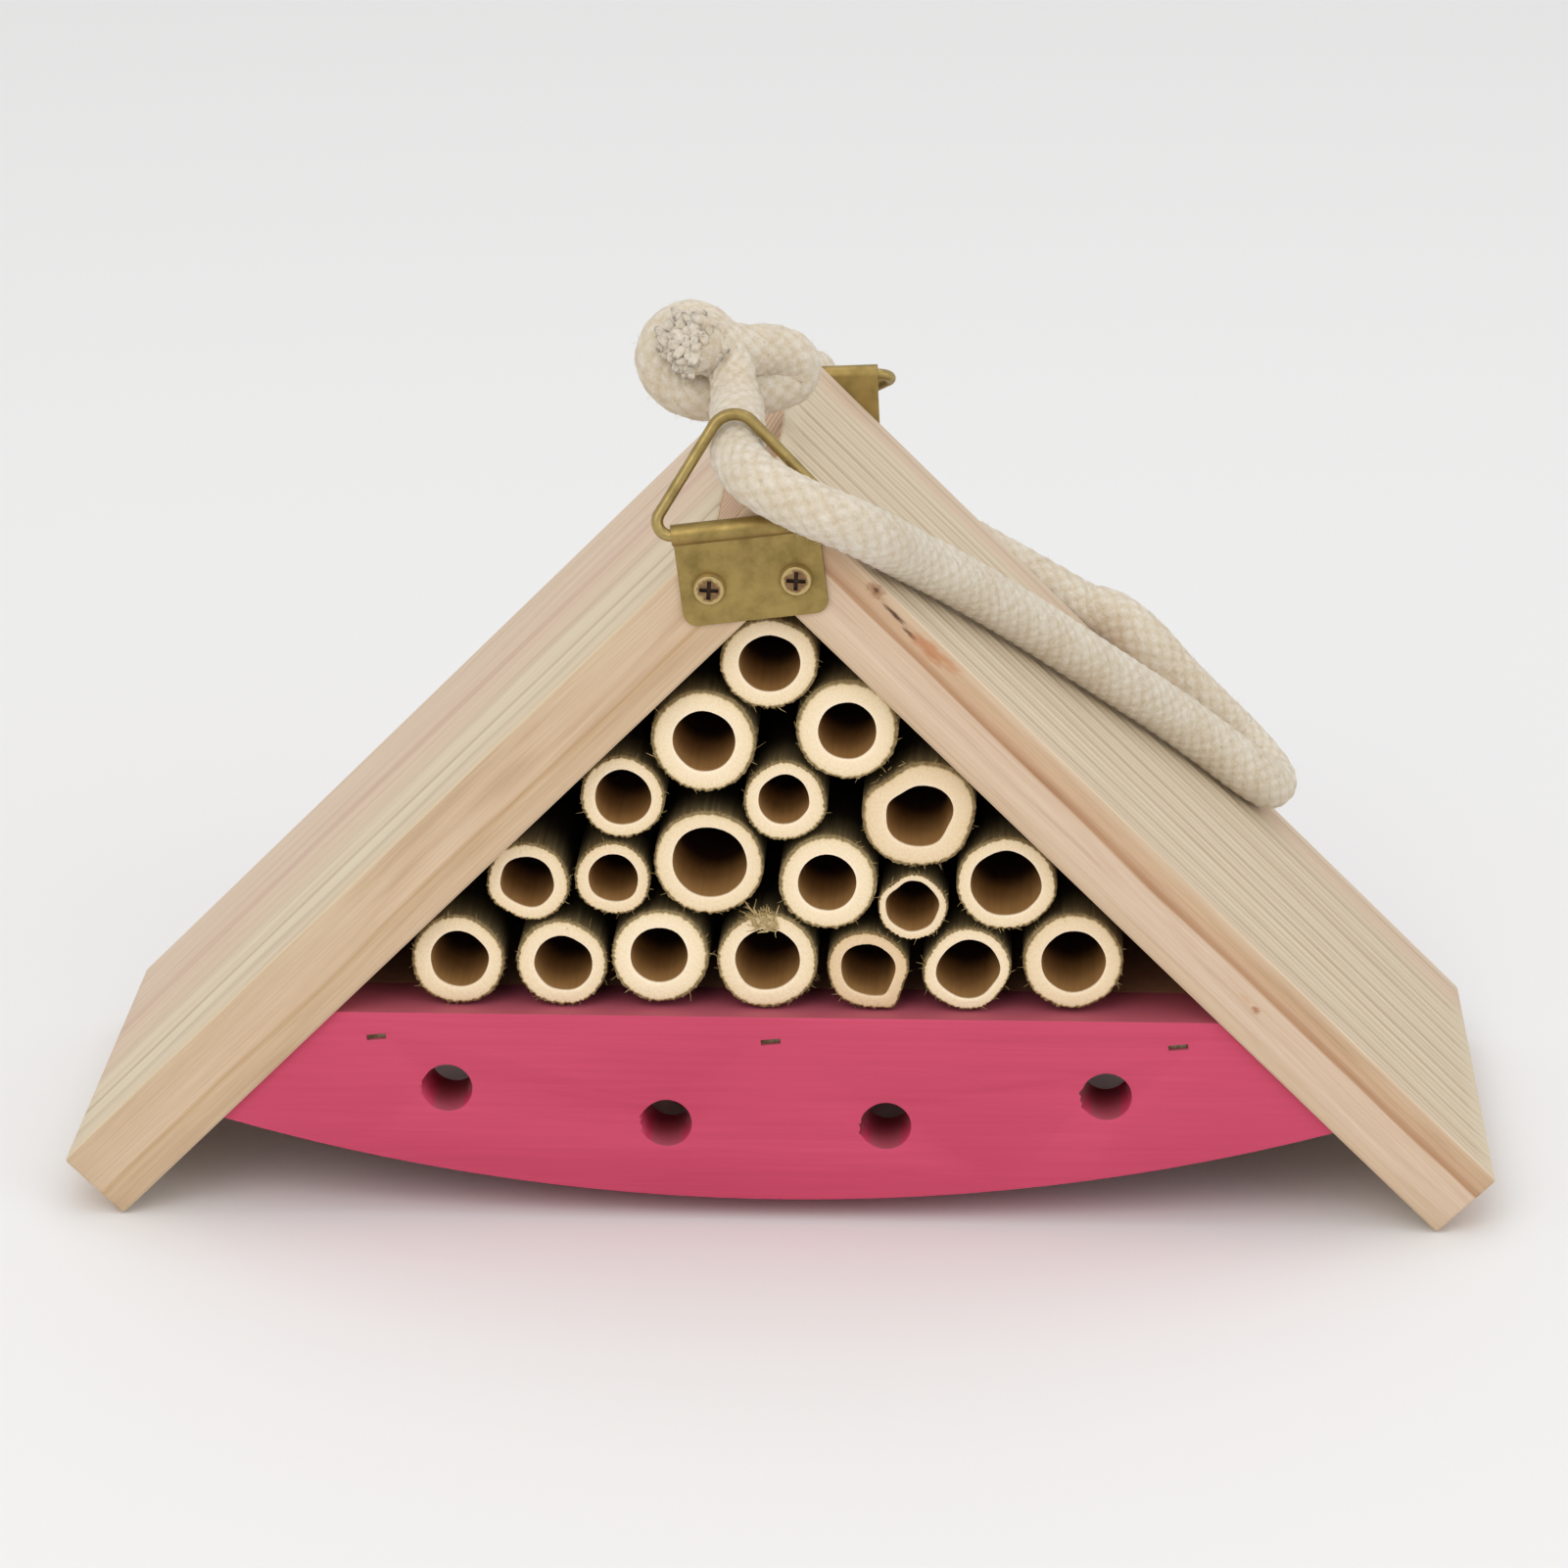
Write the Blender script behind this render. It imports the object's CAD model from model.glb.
"""Hanging insect hotel: timber roof, bamboo canes, crimson panel, brass hangers, cotton rope."""
import math
import random

import bmesh
import bpy
import numpy as np
from mathutils import Matrix, Vector


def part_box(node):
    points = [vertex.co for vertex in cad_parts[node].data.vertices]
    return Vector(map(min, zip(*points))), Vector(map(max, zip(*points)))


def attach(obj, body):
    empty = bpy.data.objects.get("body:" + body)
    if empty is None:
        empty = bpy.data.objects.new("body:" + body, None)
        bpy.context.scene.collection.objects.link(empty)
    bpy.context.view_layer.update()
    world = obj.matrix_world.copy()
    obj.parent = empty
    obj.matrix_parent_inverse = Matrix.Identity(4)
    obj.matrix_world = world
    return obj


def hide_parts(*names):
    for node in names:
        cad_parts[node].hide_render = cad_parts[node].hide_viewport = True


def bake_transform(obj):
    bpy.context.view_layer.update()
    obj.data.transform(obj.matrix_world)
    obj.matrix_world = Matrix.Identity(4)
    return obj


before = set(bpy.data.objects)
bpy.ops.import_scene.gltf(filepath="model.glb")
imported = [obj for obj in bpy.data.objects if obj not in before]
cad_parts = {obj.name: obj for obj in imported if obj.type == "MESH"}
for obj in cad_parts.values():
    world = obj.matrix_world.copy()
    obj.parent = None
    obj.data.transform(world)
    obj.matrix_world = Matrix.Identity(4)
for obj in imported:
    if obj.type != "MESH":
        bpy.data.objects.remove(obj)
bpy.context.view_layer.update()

MM = 0.001
SLOPE = math.radians(45)
BOARD = 15.0       # thickness of a roof board, in mm as all the sizes below
SLOPE_LENGTH = 187.0
GLUE = 0.05        # gap of a glue line
MERGE = 0.002      # points this close are one point
FLAT = math.radians(0.5)    # faces within this angle are one face
SHARP = math.radians(30)    # edges past this angle are worn round

roof_low, roof_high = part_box("right_roof_board")
ROOF_MIDDLE_Y = (roof_low[1] + roof_high[1]) / 2
ROOF_DEPTH = (roof_high[1] - roof_low[1]) / MM
FRONT, BACK = -ROOF_DEPTH / 2, ROOF_DEPTH / 2
RIDGE_Z = roof_high[2] / MM


def house(x, y, z):
    """A point measured in mm from the middle of the roof, as a point of the frame in metres."""
    return Vector((x * MM, y * MM + ROOF_MIDDLE_Y, z * MM))


# ---- camera ----

def aim_camera():
    """A long lens a metre in front, looking down at the front and a little at the right slope."""
    yaw, pitch, roll = math.radians(-2.644), math.radians(19.340), math.radians(-0.230)
    forward = Vector((math.sin(yaw) * math.cos(pitch), math.cos(yaw) * math.cos(pitch),
                      -math.sin(pitch)))
    level = Vector((math.cos(yaw), -math.sin(yaw), 0))
    above = level.cross(forward)
    right = math.cos(roll) * level + math.sin(roll) * above
    up = math.cos(roll) * above - math.sin(roll) * level
    turn = Matrix((right, up, -forward)).transposed().to_4x4()
    lens = bpy.data.cameras.new("camera")
    lens.sensor_width = 36.0
    lens.lens = 124.96
    lens.clip_start, lens.clip_end = 0.05, 20
    camera = bpy.data.objects.new("camera", lens)
    camera.matrix_world = Matrix.Translation(house(44.3, -970.4, 410.2)) @ turn
    bpy.context.scene.collection.objects.link(camera)
    bpy.context.scene.camera = camera


aim_camera()


# ---- hand tools ----

def let_go():
    """Leaves edit mode and deselects everything."""
    if bpy.context.object and bpy.context.object.mode != "OBJECT":
        bpy.ops.object.mode_set(mode="OBJECT")
    bpy.ops.object.select_all(action="DESELECT")


def take(piece):
    """Makes one piece the only selected and the active one."""
    let_go()
    piece.select_set(True)
    bpy.context.view_layer.objects.active = piece


def settle(piece, name):
    """Names a finished piece and puts its place into its mesh, so that it sits at the origin."""
    take(piece)
    piece.name = piece.data.name = name
    bpy.ops.object.transform_apply(location=True, rotation=True, scale=True)
    return piece


def select_edges(piece, wanted):
    """Enters edit mode with the edges selected whose two ends wanted() accepts."""
    take(piece)
    bpy.ops.object.mode_set(mode="EDIT")
    bpy.ops.mesh.select_mode(type="EDGE")
    bpy.ops.mesh.select_all(action="DESELECT")
    mesh = bmesh.from_edit_mesh(piece.data)
    for edge in mesh.edges:
        if wanted(edge.verts[0].co, edge.verts[1].co):
            edge.select = True
    mesh.select_flush_mode()
    bmesh.update_edit_mesh(piece.data)


def apply_modifier(piece, kind, **settings):
    take(piece)
    modifier = piece.modifiers.new(kind.title(), kind)
    for key, value in settings.items():
        setattr(modifier, key, value)
    bpy.ops.object.modifier_apply(modifier=modifier.name)


def points_of(piece):
    points = np.empty(len(piece.data.vertices) * 3)
    piece.data.vertices.foreach_get("co", points)
    return points.reshape(-1, 3)


def move_points(piece, points):
    piece.data.vertices.foreach_set("co", points.ravel())
    piece.data.update()


def write_attribute(piece, name, values):
    attribute = piece.data.attributes.new(name, "FLOAT", "POINT")
    attribute.data.foreach_set("value", np.asarray(values, dtype=np.float32))


def copy_of_node(node, name):
    """A copy of a CAD piece, its loose triangles merged, to be given its worn edges."""
    let_go()
    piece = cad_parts[node].copy()
    piece.data = piece.data.copy()
    bpy.context.scene.collection.objects.link(piece)
    piece.parent = None
    piece.name = piece.data.name = name
    take(piece)
    bpy.ops.object.mode_set(mode="EDIT")
    bpy.ops.mesh.select_all(action="SELECT")
    bpy.ops.mesh.remove_doubles(threshold=MERGE * MM)
    bpy.ops.mesh.dissolve_limited(angle_limit=FLAT)
    let_go()
    return piece


def finish_piece(piece, material, slot, body, *nodes, smooth=40):
    piece.data.materials.clear()
    piece.data.materials.append(material)
    take(piece)
    bpy.ops.object.shade_smooth_by_angle(angle=math.radians(smooth))
    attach(piece, body)
    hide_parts(*nodes)
    return piece


# ---- finishes ----

def colour(hex_value):
    """An sRGB hex value as linear RGBA."""
    parts = [int(hex_value[i:i + 2], 16) / 255 for i in (1, 3, 5)]
    linear = [c / 12.92 if c <= 0.04045 else ((c + 0.055) / 1.055) ** 2.4 for c in parts]
    return (*linear, 1.0)


def add(tree, kind, links=None, **settings):
    """Adds one node, sets its properties, and sets or links its inputs by name or number."""
    made = tree.nodes.new("ShaderNode" + kind)
    for key, value in settings.items():
        setattr(made, key, value)
    for key, value in (links or {}).items():
        socket = made.inputs[key]
        if isinstance(value, bpy.types.NodeSocket):
            tree.links.new(value, socket)
        else:
            socket.default_value = value
    return made


def new_finish(name):
    """A material with only its shader, and the tree to build in."""
    material = bpy.data.materials.new(name)
    material.use_nodes = True
    tree = material.node_tree
    return material, tree, tree.nodes["Principled BSDF"]


def ramp(tree, factor, *stops):
    """Colours blended along a factor, from (place, hex) stops."""
    made = add(tree, "ValToRGB", {"Fac": factor})
    elements = made.color_ramp.elements
    while len(elements) < len(stops):
        elements.new(0.5)
    for element, (place, hex_value) in zip(elements, stops):
        element.position = place
        element.color = colour(hex_value)
    return made.outputs["Color"]


def blend_colours(tree, factor, first, second, how="MIX"):
    made = add(tree, "Mix", {0: factor, 6: first, 7: second}, data_type="RGBA", blend_type=how)
    return made.outputs[2]


def work_out(tree, operation, a, b=0.0):
    return add(tree, "Math", {0: a, 1: b}, operation=operation).outputs[0]


def bump(tree, shader, height, depth_mm, strength):
    made = add(tree, "Bump", {"Height": height, "Distance": depth_mm * MM, "Strength": strength})
    tree.links.new(made.outputs["Normal"], shader.inputs["Normal"])


def planed_softwood(name, side, flat_bands, edge_bands, end, stripes, marks=(), relief=0.0):
    """Planed, unsealed spruce or pine: pale early wood with thin darker lines of late wood along
    the board, a dull sheen, and reddish arcs on the sawn ends. side is 1 on the right, -1 on the
    left. flat_bands run from the front edge (0) to the back (1), edge_bands from the outer face (0)
    to the inner (1). Each mark is (along, across, depth, stretch, size, strength, hex) in mm."""
    material, tree, shader = new_finish(name)
    place = add(tree, "TexCoord")
    board = add(tree, "Mapping", {
        "Vector": place.outputs["Object"], "Location": house(0, 0, RIDGE_Z),
        "Rotation": (0, side * SLOPE, 0), "Scale": (MM, MM, MM)}, vector_type="TEXTURE")
    board = board.outputs["Vector"]
    split = add(tree, "SeparateXYZ", {0: board}).outputs
    facing = add(tree, "SeparateXYZ", {0: place.outputs["Normal"]}).outputs
    # bands wander by a millimetre or so along the grain
    slow = add(tree, "VectorMath", {0: board, 1: (0.022, 0.05, 0.05)}, operation="MULTIPLY")
    slow = slow.outputs[0]
    wander = add(tree, "TexNoise", {"Vector": slow, "Scale": 1.0, "Detail": 1.0}).outputs["Fac"]
    wander = work_out(tree, "MULTIPLY", work_out(tree, "SUBTRACT", wander, 0.5), 5.0)
    across = work_out(tree, "ADD", split["Y"], wander)
    depth = work_out(tree, "ADD", split["Z"], work_out(tree, "MULTIPLY", wander, 0.35))
    flat_at = add(tree, "MapRange", {0: across, 1: FRONT, 2: BACK}).outputs[0]
    edge_at = add(tree, "MapRange", {0: depth, 1: 0.0, 2: -BOARD}).outputs[0]
    # thin lines of late wood, a millimetre or two apart, that fade in and out along the board
    line_at = add(tree, "CombineXYZ", {
        0: work_out(tree, "MULTIPLY", split["X"], 0.010),
        1: work_out(tree, "MULTIPLY", across, stripes),
        2: work_out(tree, "MULTIPLY", depth, stripes)}).outputs[0]
    lines = add(tree, "TexNoise", {"Vector": line_at, "Scale": 1.0, "Detail": 2.0,
                                   "Roughness": 0.6}).outputs["Fac"]
    grain = ramp(tree, lines, (0.30, "#cdb9a6"), (0.42, "#efe7de"), (0.60, "#ffffff"),
                 (0.75, "#fff6e6"))
    faces = blend_colours(tree, 0.35, ramp(tree, flat_at, *flat_bands), grain, "MULTIPLY")
    edges = blend_colours(tree, 0.40, ramp(tree, edge_at, *edge_bands), grain, "MULTIPLY")
    # rings on the sawn ends, centred well below the board
    from_pith = add(tree, "VectorMath", {0: board, 1: (0, 12, -46)}, operation="SUBTRACT")
    level = add(tree, "VectorMath", {0: from_pith.outputs[0], 1: (0, 1, 1)}, operation="MULTIPLY")
    radius = add(tree, "VectorMath", {0: level.outputs[0]}, operation="LENGTH")
    rings = work_out(tree, "FRACT", work_out(tree, "DIVIDE", work_out(
        tree, "ADD", radius.outputs["Value"], wander), 2.6))
    ends = ramp(tree, rings, (0.0, end[0]), (0.6, end[1]), (0.92, end[2]), (1.0, end[0]))
    on_edge = work_out(tree, "GREATER_THAN", work_out(tree, "ABSOLUTE", facing["Y"]), 0.7)
    tint = blend_colours(tree, on_edge, faces, edges)
    downhill = work_out(tree, "SUBTRACT", work_out(tree, "MULTIPLY", facing["X"], side),
                        facing["Z"])
    on_end = work_out(tree, "GREATER_THAN", work_out(tree, "ABSOLUTE", downhill), 1.1)
    tint = blend_colours(tree, on_end, tint, ends)
    if relief:
        worn = add(tree, "Attribute", attribute_name="relief").outputs["Fac"]
        low = work_out(tree, "MULTIPLY", work_out(tree, "SUBTRACT", 1.0, worn), relief)
        tint = blend_colours(tree, low, tint, colour("#a8947a"))
    for along, across_mm, below, stretch, size, strength, hex_value in marks:
        near = add(tree, "Mapping", {
            "Vector": board, "Location": (along, across_mm, below),
            "Scale": (size * stretch, size, size)}, vector_type="TEXTURE").outputs["Vector"]
        ragged = add(tree, "TexNoise", {"Vector": near, "Scale": 2.3, "Detail": 4.0}).outputs["Fac"]
        distance = add(tree, "VectorMath", {0: near}, operation="LENGTH").outputs["Value"]
        distance = work_out(tree, "ADD", distance, work_out(tree, "MULTIPLY", ragged, 1.3))
        inside = add(tree, "MapRange", {0: distance, 1: 1.75, 2: 0.9, 3: 0.0, 4: strength},
                     interpolation_type="SMOOTHSTEP").outputs[0]
        tint = blend_colours(tree, inside, tint, colour(hex_value))
    # fibres: streaks 0.3 mm wide and 15 mm long
    fibre_at = add(tree, "VectorMath", {0: board, 1: (0.06, 2.6, 2.6)}, operation="MULTIPLY")
    fibre_at = fibre_at.outputs[0]
    fibres = add(tree, "TexNoise", {"Vector": fibre_at, "Scale": 1.0, "Detail": 3.0,
                                    "Roughness": 0.6}).outputs["Fac"]
    tint = blend_colours(tree, 0.22, tint, ramp(tree, fibres, (0.3, "#8d8378"), (0.7, "#ffffff")),
                         "SOFT_LIGHT")
    tree.links.new(tint, shader.inputs["Base Color"])
    shader.inputs["Roughness"].default_value = 0.65
    shader.inputs["Specular IOR Level"].default_value = 0.3
    bump(tree, shader, fibres, 0.05, 0.45)
    return material


def satin_paint(name, light, dark, upper):
    """Crimson water-based paint brushed on softwood: an even satin coat in which the brush's
    strokes barely show. The sawn upper edge has drunk the paint and is a dull dark red."""
    material, tree, shader = new_finish(name)
    place = add(tree, "TexCoord")
    # brush strokes about 1 mm apart, run along the board
    strokes_at = add(tree, "Mapping", {"Vector": place.outputs["Object"],
                                       "Scale": (30, 1000, 1000)})
    strokes = add(tree, "TexNoise", {"Vector": strokes_at.outputs["Vector"], "Scale": 1.0,
                                     "Detail": 4.0, "Roughness": 0.6}).outputs["Fac"]
    blotches = add(tree, "TexNoise", {"Vector": place.outputs["Object"], "Scale": 22.0,
                                      "Detail": 2.0}).outputs["Fac"]
    tint = ramp(tree, blotches, (0.3, dark), (0.7, light))
    tint = blend_colours(tree, 0.12, tint, ramp(tree, strokes, (0.3, "#8c8c8c"), (0.7, "#ffffff")),
                         "SOFT_LIGHT")
    up = add(tree, "SeparateXYZ", {0: place.outputs["Normal"]}).outputs["Z"]
    tint = blend_colours(tree, work_out(tree, "GREATER_THAN", up, 0.8), tint, colour(upper))
    tree.links.new(tint, shader.inputs["Base Color"])
    shader.inputs["Roughness"].default_value = 0.5
    shader.inputs["Specular IOR Level"].default_value = 0.3
    bump(tree, shader, strokes, 0.05, 0.3)
    return material


def dry_cane(name):
    """Cut bamboo cane: a pale fibrous cut face that darkens to a thin skin, a brown hollow, and an
    olive-tan skin outside. wall runs from 0 in the hollow to 1 on the skin, depth is in mm from the
    nearer mouth, and tint is one value for each cane."""
    material, tree, shader = new_finish(name)
    place = add(tree, "TexCoord").outputs["Object"]
    wall = add(tree, "Attribute", attribute_name="wall").outputs["Fac"]
    tint_value = add(tree, "Attribute", attribute_name="tint").outputs["Fac"]
    depth = add(tree, "Attribute", attribute_name="depth").outputs["Fac"]
    # bundles of fibres show as specks about 0.4 mm across on the cut face
    specks = add(tree, "TexNoise", {"Vector": place, "Scale": 2200.0, "Detail": 2.0}).outputs["Fac"]
    cloud = add(tree, "TexNoise", {"Vector": place, "Scale": 160.0, "Detail": 3.0}).outputs["Fac"]
    uneven = work_out(tree, "ADD", wall, work_out(
        tree, "MULTIPLY", work_out(tree, "SUBTRACT", cloud, 0.5), 0.22))
    face = ramp(tree, uneven, (0.0, "#ffeed0"), (0.12, "#f8e5c3"), (0.60, "#f1ddb9"),
                (0.78, "#e6d1a9"), (0.86, "#bca577"), (0.92, "#83704a"), (1.0, "#8f7c55"))
    face = blend_colours(tree, 0.25, face, ramp(tree, specks, (0.35, "#6f6656"), (0.62, "#ffffff")),
                         "SOFT_LIGHT")
    face = blend_colours(tree, work_out(tree, "MULTIPLY", tint_value, 0.5), face, colour("#cfae84"),
                         "MULTIPLY")
    streak_at = add(tree, "Mapping", {"Vector": place, "Scale": (1500, 40, 1500)}).outputs["Vector"]
    streaks = add(tree, "TexNoise", {"Vector": streak_at, "Scale": 1.0, "Detail": 3.0})
    streaks = streaks.outputs["Fac"]
    hollow = ramp(tree, streaks, (0.2, "#a57b48"), (0.8, "#b58d57"))
    # past the cane's first joint no light comes back
    deep = add(tree, "MapRange", {0: depth, 1: 13.0, 2: 22.0}, interpolation_type="SMOOTHSTEP")
    hollow = blend_colours(tree, deep.outputs[0], hollow, colour("#54371f"))
    skin = ramp(tree, streaks, (0.25, "#5d5036"), (0.55, "#7d6c49"), (0.8, "#9a8861"))
    # between the canes the skins are dark with dust and shade
    dusty = add(tree, "MapRange", {0: depth, 1: 1.0, 2: 12.0, 3: 0.15, 4: 0.9}).outputs[0]
    skin = blend_colours(tree, dusty, skin, colour("#2b2419"))
    inside = work_out(tree, "LESS_THAN", wall, 0.5)
    sides = blend_colours(tree, inside, skin, hollow)
    beyond = add(tree, "MapRange", {0: depth, 1: 0.35, 2: 0.75}).outputs[0]
    tree.links.new(blend_colours(tree, beyond, face, sides), shader.inputs["Base Color"])
    shader.inputs["Roughness"].default_value = 0.6
    shader.inputs["Specular IOR Level"].default_value = 0.4
    bump(tree, shader, blend_colours(tree, beyond, specks, streaks), 0.12, 0.6)
    return material


def straw(name):
    """Loose bast fibres of cut cane: dry, straw yellow, dull."""
    material, tree, shader = new_finish(name)
    place = add(tree, "TexCoord").outputs["Object"]
    cloud = add(tree, "TexNoise", {"Vector": place, "Scale": 300.0, "Detail": 2.0}).outputs["Fac"]
    tint = ramp(tree, cloud, (0.3, "#86703f"), (0.55, "#b59d67"), (0.75, "#cfb98a"))
    tree.links.new(tint, shader.inputs["Base Color"])
    shader.inputs["Roughness"].default_value = 0.75
    return material


def tarnished_brass(name, bright, dull, roughness, blotch_mm):
    """Brass-plated sheet or wire, lacquer gone: yellow metal with brown-green clouds of tarnish."""
    material, tree, shader = new_finish(name)
    place = add(tree, "TexCoord").outputs["Object"]
    clouds = add(tree, "TexNoise", {"Vector": place, "Scale": 1000.0 / blotch_mm, "Detail": 6.0,
                                    "Roughness": 0.6}).outputs["Fac"]
    fine = add(tree, "TexNoise", {"Vector": place, "Scale": 3000.0, "Detail": 2.0}).outputs["Fac"]
    tint = ramp(tree, clouds, (0.32, dull), (0.6, bright))
    tree.links.new(tint, shader.inputs["Base Color"])
    shader.inputs["Metallic"].default_value = 0.9
    gloss = add(tree, "MapRange", {0: clouds, 1: 0.35, 2: 0.65, 3: roughness + 0.16, 4: roughness})
    tree.links.new(gloss.outputs[0], shader.inputs["Roughness"])
    bump(tree, shader, fine, 0.02, 0.4)
    return material


def screw_steel(name):
    """Yellow-passivated steel screw: a bright worn rim, and a recess that is brown with dirt.
    recess runs from 0 on the rim to 1 in the cross."""
    material, tree, shader = new_finish(name)
    place = add(tree, "TexCoord").outputs["Object"]
    recess = add(tree, "Attribute", attribute_name="recess").outputs["Fac"]
    spots = add(tree, "TexNoise", {"Vector": place, "Scale": 1500.0, "Detail": 3.0}).outputs["Fac"]
    uneven = work_out(tree, "ADD", recess, work_out(
        tree, "MULTIPLY", work_out(tree, "SUBTRACT", spots, 0.5), 0.5))
    tint = ramp(tree, uneven, (0.08, "#bfa873"), (0.3, "#8d7048"), (0.55, "#73553b"),
                (0.9, "#38281e"))
    tree.links.new(tint, shader.inputs["Base Color"])
    shader.inputs["Metallic"].default_value = 0.7
    shader.inputs["Roughness"].default_value = 0.36
    bump(tree, shader, spots, 0.03, 0.5)
    return material


def galvanised_wire(name):
    """Zinc-coated staple wire, dulled brown in its slot."""
    material, tree, shader = new_finish(name)
    place = add(tree, "TexCoord").outputs["Object"]
    spots = add(tree, "TexNoise", {"Vector": place, "Scale": 900.0, "Detail": 4.0}).outputs["Fac"]
    tint = ramp(tree, spots, (0.35, "#5f5238"), (0.6, "#8d8468"))
    tree.links.new(tint, shader.inputs["Base Color"])
    shader.inputs["Metallic"].default_value = 0.7
    shader.inputs["Roughness"].default_value = 0.5
    return material


def braided_cotton(name):
    """Undyed braided cotton: cream, matt and downy, a little darker between its strands. plait is
    the height of the strand, from 0 in a gap to 1 on its crown."""
    material, tree, shader = new_finish(name)
    place = add(tree, "TexCoord").outputs["Object"]
    plait = add(tree, "Attribute", attribute_name="plait").outputs["Fac"]
    down = add(tree, "TexNoise", {"Vector": place, "Scale": 1100.0, "Detail": 5.0,
                                  "Roughness": 0.75}).outputs["Fac"]
    cloud = add(tree, "TexNoise", {"Vector": place, "Scale": 130.0, "Detail": 3.0}).outputs["Fac"]
    tint = ramp(tree, plait, (0.0, "#bfaa89"), (0.35, "#d9cbb2"), (0.8, "#e3d9c7"),
                (1.0, "#e8dfd0"))
    tint = blend_colours(tree, 0.35, tint, ramp(tree, cloud, (0.3, "#dcc6a8"), (0.7, "#ffffff")),
                         "MULTIPLY")
    tint = blend_colours(tree, 0.5, tint, ramp(tree, down, (0.3, "#8a8378"), (0.7, "#ffffff")),
                         "SOFT_LIGHT")
    tree.links.new(tint, shader.inputs["Base Color"])
    shader.inputs["Roughness"].default_value = 0.95
    shader.inputs["Specular IOR Level"].default_value = 0.15
    shader.inputs["Sheen Weight"].default_value = 0.25
    shader.inputs["Sheen Roughness"].default_value = 0.6
    bump(tree, shader, down, 0.5, 0.9)
    return material


cotton = braided_cotton("undyed_braided_cotton")


# ---- rope ----

ROPE_D = 10.0
STRANDS = 9        # strands that run each way round the plait
STRAND_RISE = 3.5  # length of rope from one strand to the next
ROPE_SIDES = 60    # points round the rope
ROPE_STEP = 0.6    # length of rope from one ring of points to the next
PLAIT_RELIEF = 0.4  # depth of the gaps between strands
DOWN = 20          # down hairs to each mm of rope
ROUTE_STEPS = 16   # points on the curve between two points of a route
GOLDEN_ANGLE = 2.39996

ROPE_ROUTE = [
    (-7.5, -27, 150.5), (-7, -34, 149.5), (-6.5, -41, 148.2), (-6, -47.3, 146.1),
    (-3, -53.4, 144.8), (1, -56.8, 143.2), (7, -58, 140.6), (13, -56.2, 137.6),
    (18.5, -49.9, 133), (24, -38.5, 126.4), (31, -28, 119.4), (39, -17.5, 111.4),
    (47, -8, 103.4), (55, 0.5, 95.4), (63, 9, 87.4), (71, 17.5, 79.4), (78, 23.5, 72.4),
    (84, 28, 66.4), (89, 31.7, 61.4), (92.6, 36.2, 57.8), (93.2, 41, 57.2), (90.5, 45, 59.9),
    (86, 46.8, 64.4), (80, 46.8, 70.4), (74, 47, 76.6), (68, 48.6, 83), (62, 52, 86.8),
    (56, 54.1, 88), (49, 54.1, 92), (42, 54.1, 96)]
TAIL_ROUTE = [
    (42, 54.1, 96), (35, 54.1, 100), (28, 54.1, 104), (20, 54.4, 108.7), (11, 54.8, 114),
    (6, 55, 119), (3.8, 55.7, 124), (3, 58.3, 129.6), (2.6, 62.2, 132), (2.2, 66.8, 131.2),
    (2, 71.2, 129.4), (1.9, 73.9, 125.2), (1.7, 74.3, 119.8), (1.6, 74.1, 114), (1.5, 74, 109)]
FRONT_KNOT_ROUTE = [
    (-7.2, -31, 150), (-7.8, -26.5, 151.6), (-8.6, -21.5, 155), (-11, -17.5, 160),
    (-15.6, -15.8, 162.8), (-20.3, -16, 160.8), (-21.9, -16.6, 156), (-19, -17, 151.6),
    (-13.5, -17, 149.8), (-7.5, -14, 149.8), (-2.3, -10.5, 149.9), (1.6, -8, 151),
    (1.5, -8.8, 154.6), (-2.2, -11.5, 156.8), (-6.6, -15, 157.6), (-10.8, -18, 158.8),
    (-14.2, -20.3, 160.4), (-15.9, -23.6, 161.2)]


def smooth_route(route):
    """The curve through a route's points, closely spaced."""
    points = [Vector(p) for p in route]
    last = len(points) - 1
    line = []
    for i in range(last):
        a, b, c, d = (points[max(i - 1, 0)], points[i], points[i + 1], points[min(i + 2, last)])
        for k in range(ROUTE_STEPS):
            t = k / ROUTE_STEPS
            line.append(0.5 * (2 * b + (c - a) * t + (2 * a - 5 * b + 4 * c - d) * t * t
                               + (3 * b - a - 3 * c + d) * t ** 3))
    line.append(points[-1])
    return line


def even_steps(line):
    """The same curve with its points an even step apart, and how far along it each one is."""
    line = np.array([tuple(p) for p in line])
    gaps = np.linalg.norm(np.diff(line, axis=0), axis=1)
    run = np.concatenate([[0], np.cumsum(gaps)])
    count = int(round(run[-1] / ROPE_STEP)) + 1
    at = np.linspace(0, run[-1], count)
    return np.stack([np.interp(at, run, line[:, k]) for k in range(3)], axis=1), at


def plait_height(turn, along):
    """Height of a plait's surface, from 0 in the gaps to 1 on the crowns of its strands."""
    slack = 0.13 * np.sin(along / 3.7 + 2 * math.pi * turn) + 0.10 * np.sin(along / 9.1 + 1.0)
    a = turn * STRANDS + along / STRAND_RISE + slack
    b = turn * STRANDS - along / STRAND_RISE + 0.12 * np.sin(along / 5.3 - 4 * math.pi * turn)
    over = (np.floor(a) + np.floor(b)) % 2 == 0
    across = np.where(over, a % 1, b % 1) - 0.5
    along_strand = np.where(over, b % 1, a % 1) - 0.5
    return np.sqrt(1 - (1.85 * across) ** 2) * (0.5 + 0.5 * np.cos(math.pi * along_strand))


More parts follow.
